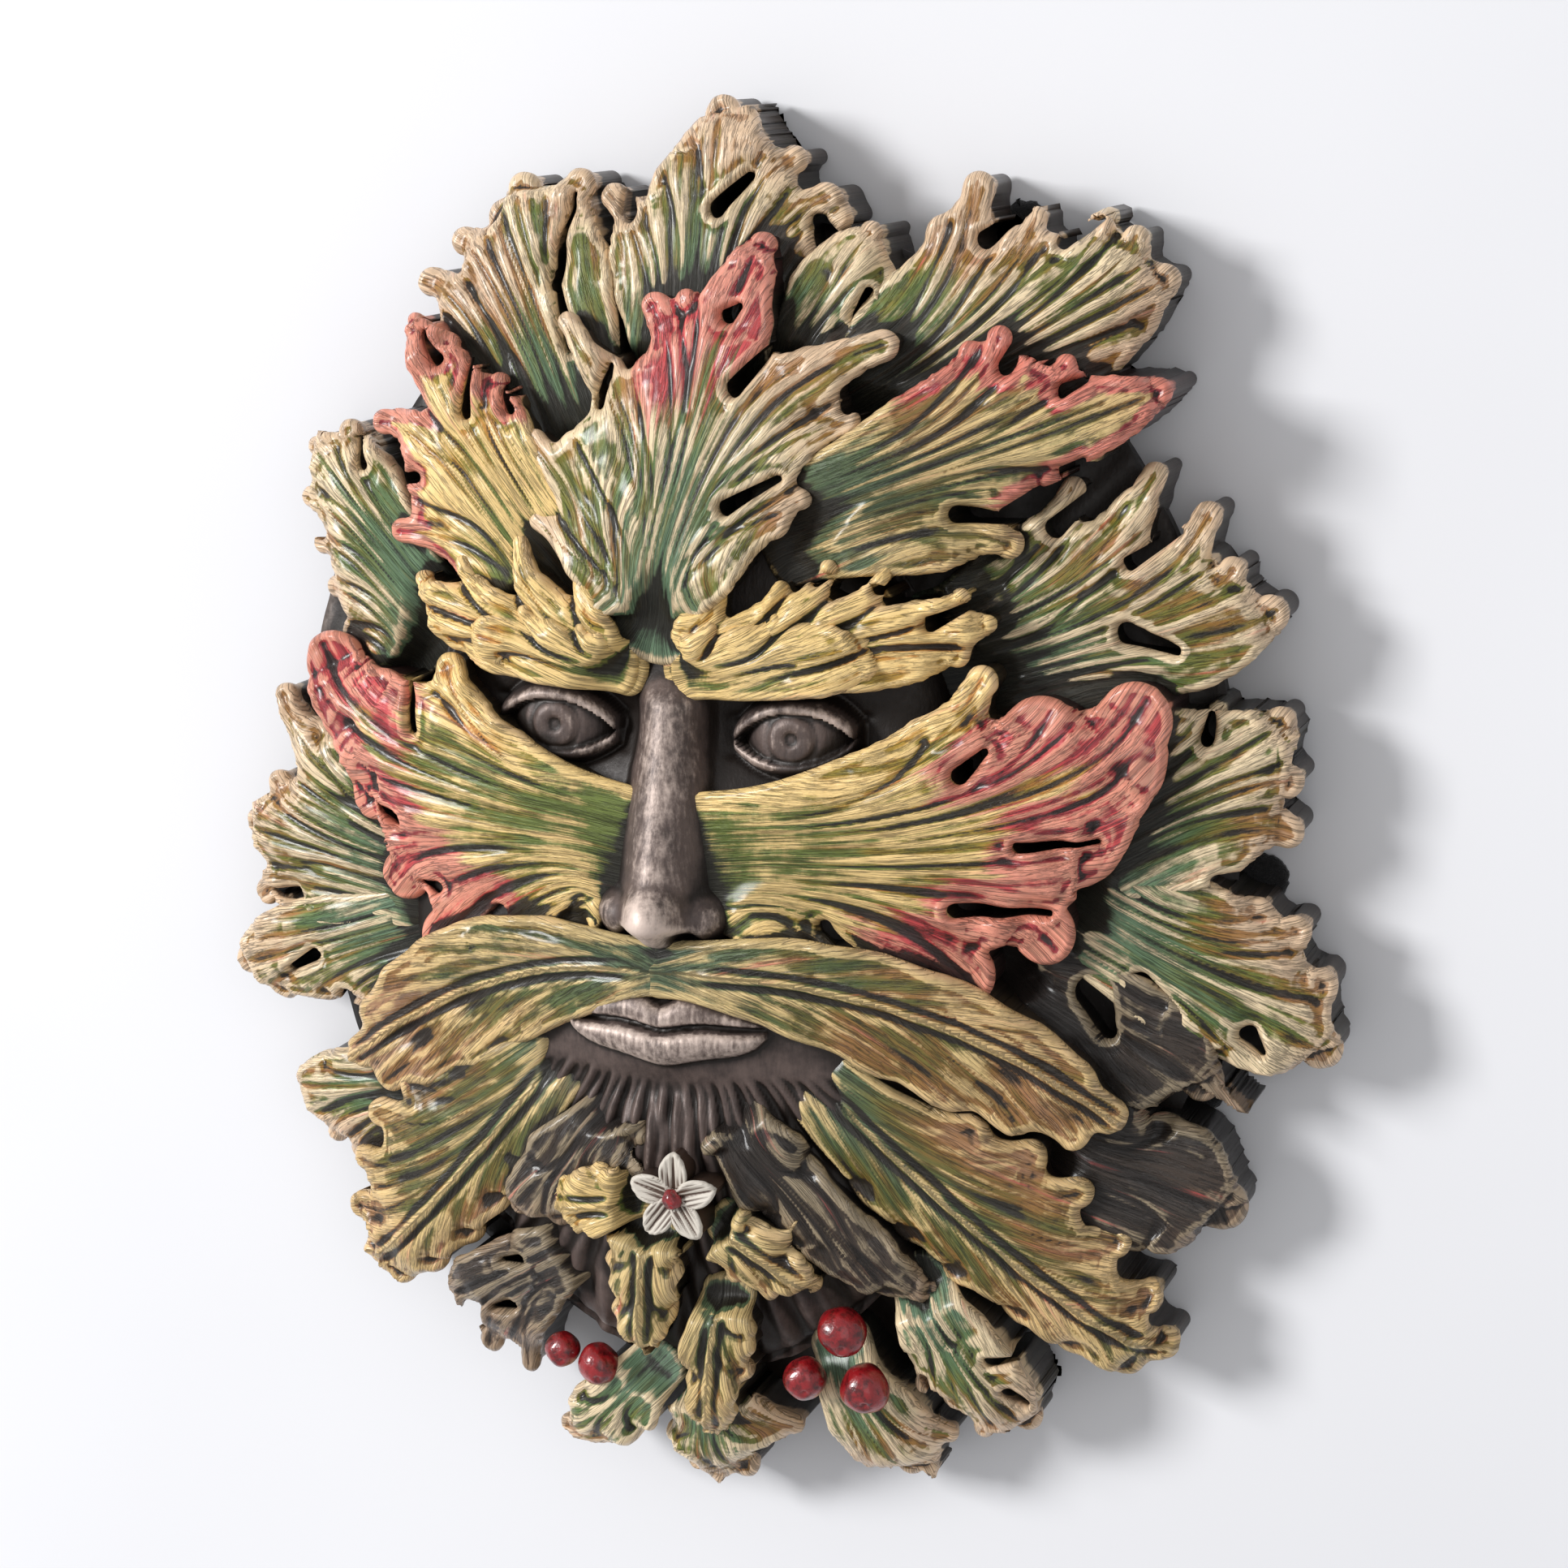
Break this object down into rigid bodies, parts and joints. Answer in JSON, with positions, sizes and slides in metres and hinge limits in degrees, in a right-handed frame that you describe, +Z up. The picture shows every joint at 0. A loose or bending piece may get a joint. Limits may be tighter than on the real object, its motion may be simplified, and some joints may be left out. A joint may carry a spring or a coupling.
{
  "type": "green man mask",
  "caption": "Flat-backed oval wall mask: a calm face in high relief among lobed leaves, with a leaf moustache, strand beard, blossom and berries.",
  "frame": {"origin": "on the wall plane, at the felt's back, level with the middle of the mask's height and in line with the middle of the face", "axes": "+Y into the wall, so the face looks along -Y; +Z up; +X to the viewer's right"},
  "size_m": [0.2375, 0.052, 0.2794],
  "materials": {
    "painted_cast": "hand-painted cast resin stone: green, red and brown leaves over a dark wash, with pale gold brushed on the raised edges",
    "felt": "thin black felt"
  },
  "bodies": {
    "root": {"mask_casting": "painted_cast", "felt_backing": "felt"}
  },
  "joints": []
}
